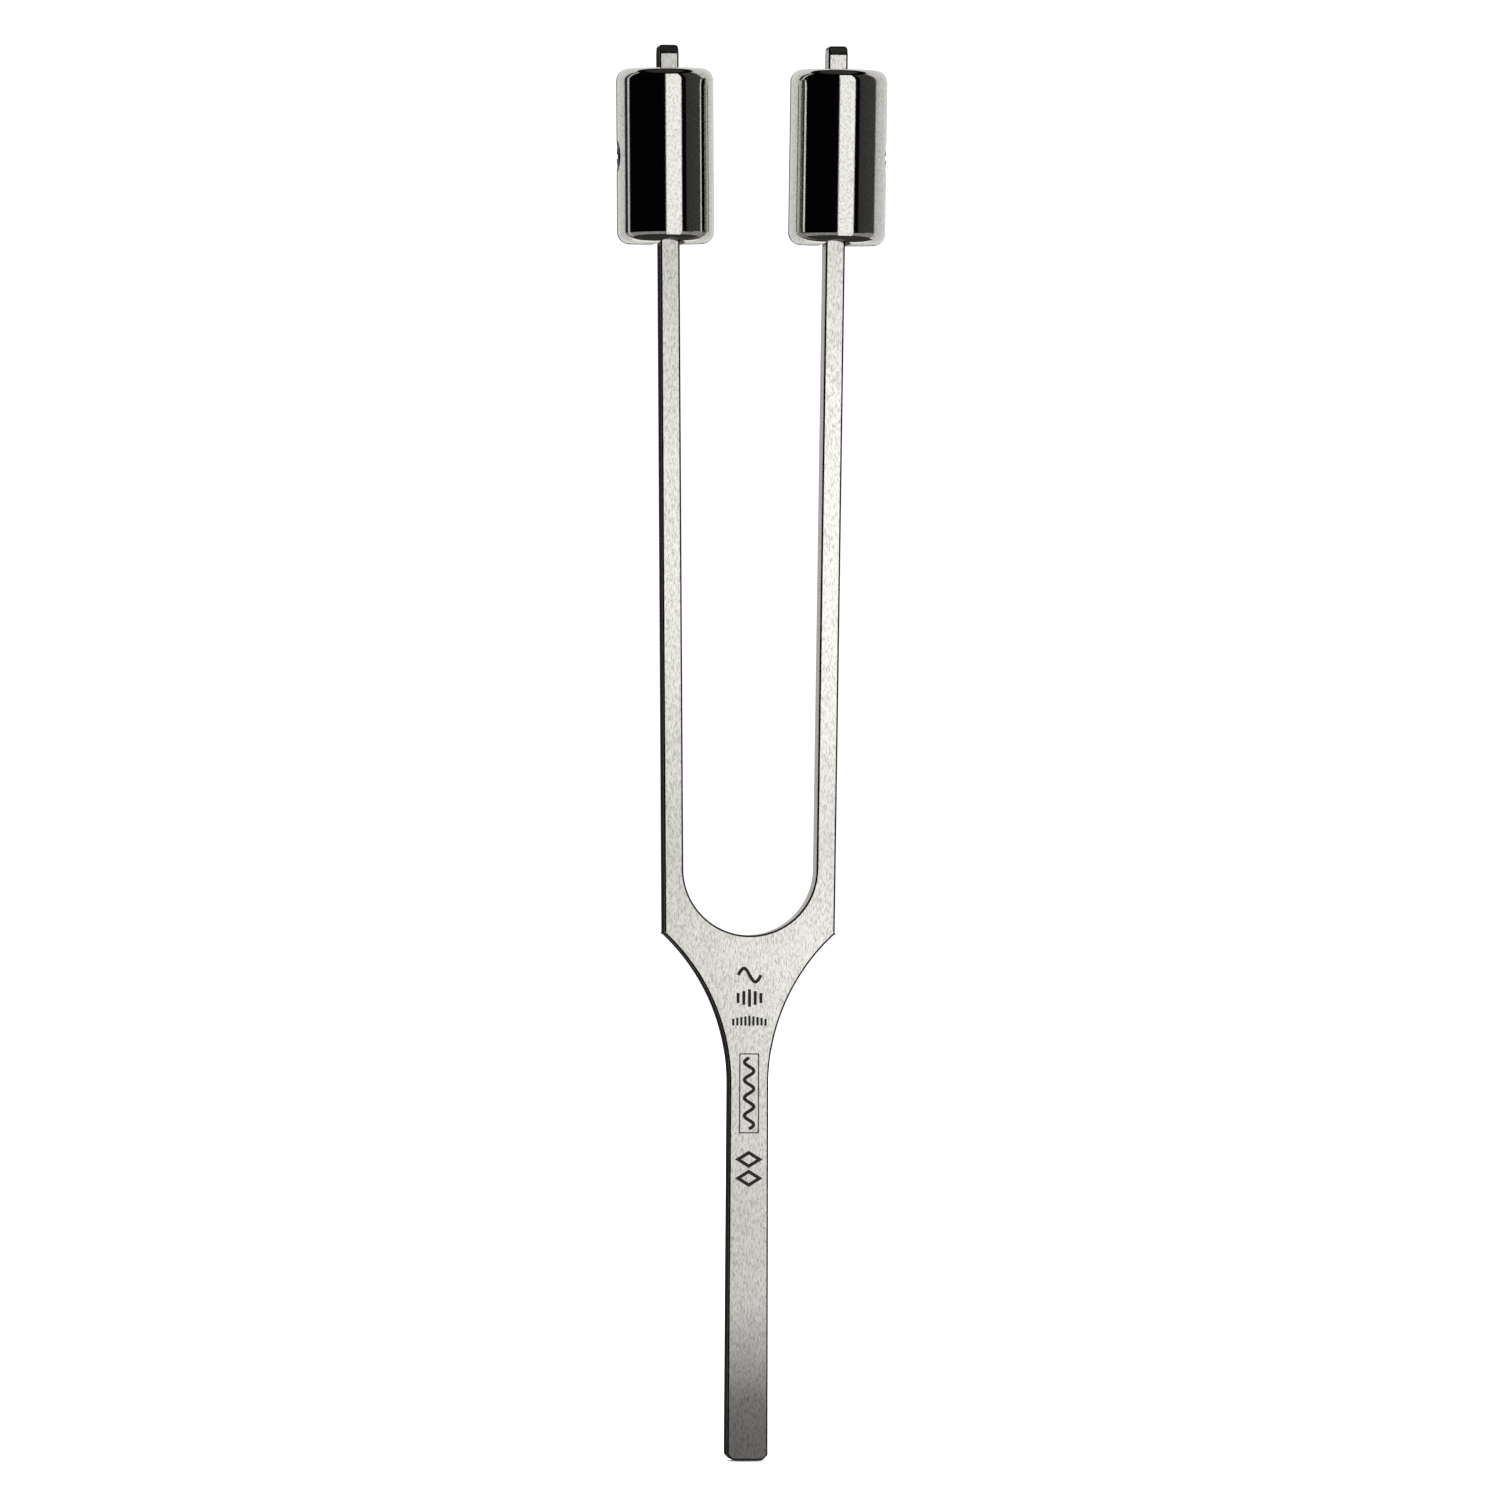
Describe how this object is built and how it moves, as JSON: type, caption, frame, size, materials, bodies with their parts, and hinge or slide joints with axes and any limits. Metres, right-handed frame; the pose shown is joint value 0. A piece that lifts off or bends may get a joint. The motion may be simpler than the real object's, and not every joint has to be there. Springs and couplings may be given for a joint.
{
  "type": "weighted tuning fork",
  "caption": "Flat steel tuning fork with round clamping weights on its tines, each held by a slotted set screw. Rings at a low steady pitch for hearing and vibration tests.",
  "frame": {"origin": "centre of the flat end of the stem, the fork's foot", "axes": "+Z along the stem towards the tine tips, X across the two tines, and the marked front face looks towards -Y"},
  "size_m": [0.0404, 0.0144, 0.21],
  "materials": {
    "fork_steel": "satin, brushed along the fork's length",
    "weight_chrome": "polished",
    "screw_steel": "black oxide"
  },
  "bodies": {
    "fork": {"fork": "fork_steel"},
    "left_weight": {"left_weight": "weight_chrome"},
    "right_weight": {"right_weight": "weight_chrome"},
    "left_set_screw": {"left_set_screw": "screw_steel"},
    "right_set_screw": {"right_set_screw": "screw_steel"}
  },
  "joints": [
    {"name": "left_weight_slide", "type": "slide", "parent": "fork", "child": "left_weight", "axis": [-0.0105, 0, 0.9999], "range_m": [-0.09, 0.03]},
    {"name": "right_weight_slide", "type": "slide", "parent": "fork", "child": "right_weight", "axis": [0.0105, 0, 0.9999], "range_m": [-0.09, 0.03]},
    {"name": "left_set_screw_turn", "type": "hinge", "parent": "left_weight", "child": "left_set_screw", "pos_m": [-0.01289, 0, 0.19348], "axis": [-0.9999, 0, -0.0105], "range_deg": [0, 630]},
    {"name": "right_set_screw_turn", "type": "hinge", "parent": "right_weight", "child": "right_set_screw", "pos_m": [0.01289, 0, 0.19348], "axis": [0.9999, 0, -0.0105], "range_deg": [0, 630]}
  ]
}
